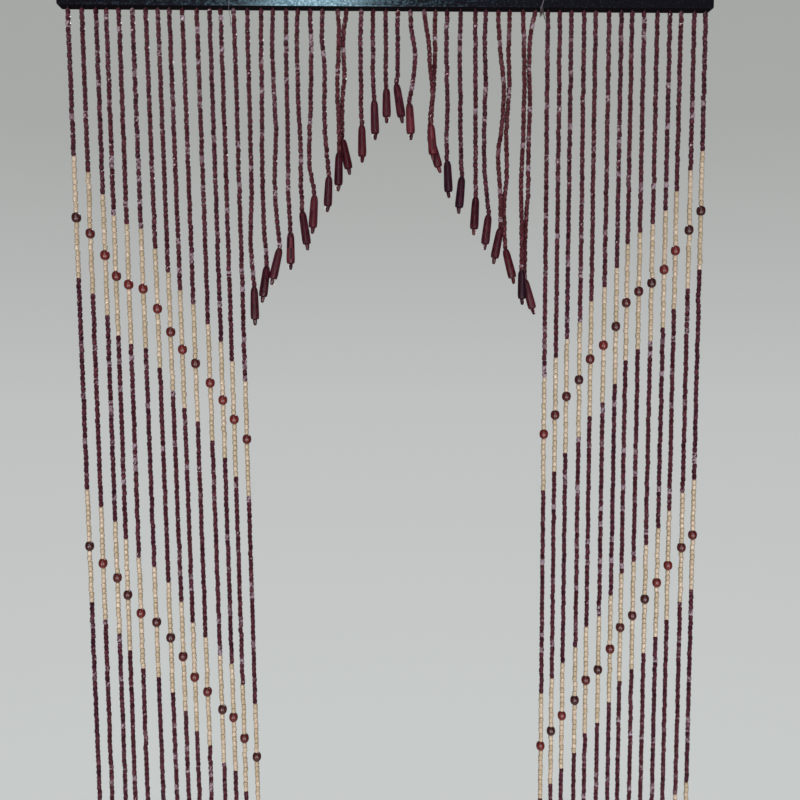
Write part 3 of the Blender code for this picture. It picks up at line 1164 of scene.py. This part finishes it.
@dataclass(frozen=True)
class LooseEnds:
    """Two untrimmed thread ends: a thin one hangs below the rail and a frayed one crosses its front.

    A route's places are x in metres and the height above the rail's underside in millimetres.
    """

    thin: float = 0.0004
    tuft: float = 0.0007
    thick: float = 0.0008
    hanging: Pairs = ((-0.2200, 6), (-0.2196, 2), (-0.2200, -6), (-0.2180, -16), (-0.2184, -26))
    crossing: Pairs = ((0.2175, 34), (0.2150, 20), (0.2115, 9), (0.2085, 1), (0.2072, -2))
    tufts: tuple[Pairs, ...] = (
        ((0.2098, 3), (0.2085, -2), (0.2062, -7)),
        ((0.2090, 2), (0.2085, -5), (0.2090, -11)),
        ((0.2094, 2), (0.2108, -4), (0.2128, -12), (0.2138, -15)),
        ((0.2088, 1), (0.2074, -5), (0.2071, -12)),
        ((0.2086, 2), (0.2095, -3), (0.2102, -9)),
        ((0.2092, 1), (0.2078, -3), (0.2066, -4)),
    )

    def build(self, shop: Workshop) -> None:
        """Makes the loose ends and hands them over."""
        for name, routes, radius, finish in (
            ("loose_thread_end", (self.hanging,), self.thin, "loose_thread"),
            ("crossing_thread_end", (self.crossing,), self.thick, "loose_thread"),
            ("frayed_tufts", self.tufts, self.tuft, "frayed_thread"),
        ):
            lines = [self.path(radius, route) for route in routes]
            hand_over(shop.sweep_threads(name, lines, radius, finish), "rail")

    @staticmethod
    def path(radius: float, route: Pairs) -> list[Vector]:
        """Returns: a thread's points on the rail's front face, its free end a little behind it."""
        points = []
        for x, height in route:
            back = min(MOST_BACK, BACK_PER_MM * max(0.0, -height))
            points.append(Vector((x, RAIL_LOW.y - radius + back, UNDERSIDE_Z + height * MM)))
        return points


# Colours by share: of the way from front to back for the light all round, of the way up for the backdrop,
# which carries painted shade, darker towards the top.
AMBIENT = ((0.35, (0.068, 0.070, 0.073)), (0.65, (0.12, 0.127, 0.127)))
BACKDROP = (
    (0.27, (0.572, 0.597, 0.591)),
    (0.45, (0.520, 0.537, 0.530)),
    (0.60, (0.392, 0.400, 0.392)),
    (0.66, (0.380, 0.390, 0.370)),
)


@dataclass(frozen=True)
class Lamp:
    """A soft rectangular light that faces the curtain's middle line at the height aim."""

    name: str
    place: Point
    aim: float
    size: tuple[float, float]
    power: float
    colour: Colour = (0.98, 0.98, 1.0)

    def hang(self) -> None:
        """Adds the light to the scene."""
        data = bpy.data.lights.new(self.name, "AREA")
        data.shape = "RECTANGLE"
        data.size, data.size_y = self.size
        data.energy = self.power
        data.color = self.colour
        facing = (Vector((0.0, 0.0, self.aim)) - Vector(self.place)).to_track_quat("-Z", "Y")
        lamp = add_object(self.name, data)
        lamp.matrix_world = Matrix.Translation(self.place) @ facing.to_matrix().to_4x4()


@dataclass(frozen=True)
class Studio:
    """A pale floor, soft lamps in front and behind, dim light all round, and the photograph's camera."""

    camera_place: Point = (-0.0431, -1.2483, -0.4341)
    pitch: float = -5.928
    yaw: float = -2.415
    roll: float = 0.482
    sensor: float = 36.0
    focal: float = 38.79
    floor_middle: float = -0.35
    floor_drop: float = 0.03
    floor_size: tuple[float, float] = (2.8, 1.7)
    lamps: tuple[Lamp, ...] = (
        Lamp("window", (-0.21, -3.0, 0.45), -0.5, (0.52, 2.4), 26.5, (0.92, 0.98, 1.0)),
        Lamp("high", (-0.4, -1.5, 1.7), -0.4, (0.9, 0.6), 5.0),
        Lamp("low_left", (-1.1, -2.7, -1.4), -1.0, (0.7, 1.0), 40.0, (1.0, 0.96, 0.91)),
        Lamp("low_right", (1.1, -2.7, -1.4), -1.0, (0.7, 1.0), 40.0, (1.0, 0.96, 0.91)),
        Lamp("back", (0.6, 2.3, 1.9), -0.8, (1.2, 1.0), 60.0),
    )

    def build(self) -> None:
        """Builds the whole set."""
        self.camera()
        self.floor()
        self.world()
        for lamp in self.lamps:
            lamp.hang()

    def camera(self) -> None:
        """Sets the camera at the photograph's angle."""
        data = bpy.data.cameras.new("camera")
        data.sensor_width = self.sensor
        data.lens = self.focal
        data.clip_start = 0.01
        made = add_object("camera", data)
        place = Matrix.Translation(self.camera_place)
        for angle, axis in ((self.yaw, "Z"), (self.pitch, "X"), (self.roll, "Y"), (90.0, "X")):
            place = place @ Matrix.Rotation(math.radians(angle), 4, axis)
        made.matrix_world = place
        bpy.context.scene.camera = made

    def floor(self) -> None:
        """Lays a pale floor a little below the curtain."""
        shaped = bmesh.new()
        bmesh.ops.create_grid(shaped, x_segments=8, y_segments=6, size=0.5)
        place = Matrix.Translation((0.0, self.floor_middle, CAD_BOX[0][2] - self.floor_drop))
        stretch = Matrix.Diagonal((*self.floor_size, 1.0, 1.0))
        bmesh.ops.transform(shaped, matrix=place @ stretch, verts=shaped.verts)
        floor = add_solid("floor", shaped)
        bench = FinishBench("pale_floor")
        grit = bench.noise(40.0)
        pale = bench.mix(grit, (0.60, 0.60, 0.59), (0.66, 0.66, 0.65))
        floor.data.materials.append(bench.dress(Base_Color=pale, Roughness=0.7))

    def world(self) -> None:
        """Lights all directions softly: dim in front, paler behind, and a backdrop for the camera with
        painted shade, darker towards the top.
        """
        world = bpy.data.worlds.new("soft studio")
        bpy.context.scene.world = world
        world.use_nodes = True
        bench = Bench(world.node_tree)
        place = bench.add("ShaderNodeTexCoord", {}, {}, "Generated")
        shades = []
        for axis, stops in (("Y", AMBIENT), ("Z", BACKDROP)):
            part = bench.add("ShaderNodeSeparateXYZ", {}, {"Vector": place}, axis)
            share = bench.add("ShaderNodeMapRange", {}, {"Value": part, "From Min": -1.0})
            shades.append(bench.add("ShaderNodeValToRGB", {"stops": stops}, {0: share}))
        # The camera sees the backdrop with its painted shade; all other rays get the light all round.
        seen = bench.add("ShaderNodeLightPath", {}, {}, "Is Camera Ray")
        bench.feed(bench.tree.nodes["Background"].inputs["Color"], bench.mix(seen, *shades))


def main() -> None:
    """Builds the curtain in order and reports each piece."""
    logging.basicConfig(level=logging.INFO, format="%(message)s")
    bpy.context.scene.view_settings.view_transform = "Standard"
    Studio().build()
    shop = Workshop()
    groups = [
        StringGroup("left_panel", LEFT_PANEL, 11, (("_outer", 0, 7), ("_inner", 7, 14))),
        StringGroup("left_valance", LEFT_VALANCE, 23, (("", 0, 12),)),
        StringGroup("right_valance", RIGHT_VALANCE, 37, (("", 0, 12),)),
        StringGroup("right_panel", RIGHT_PANEL, 53, (("_inner", 0, 7), ("_outer", 7, 14))),
    ]
    for group in groups:
        group.build(shop)
    roots = [string.at(0) for group in groups for string in group.strings]
    Rail(RAIL_LOW, RAIL_HIGH).build(shop, roots)
    LooseEnds().build(shop)
    shop.close()


if __name__ == "__main__":
    main()
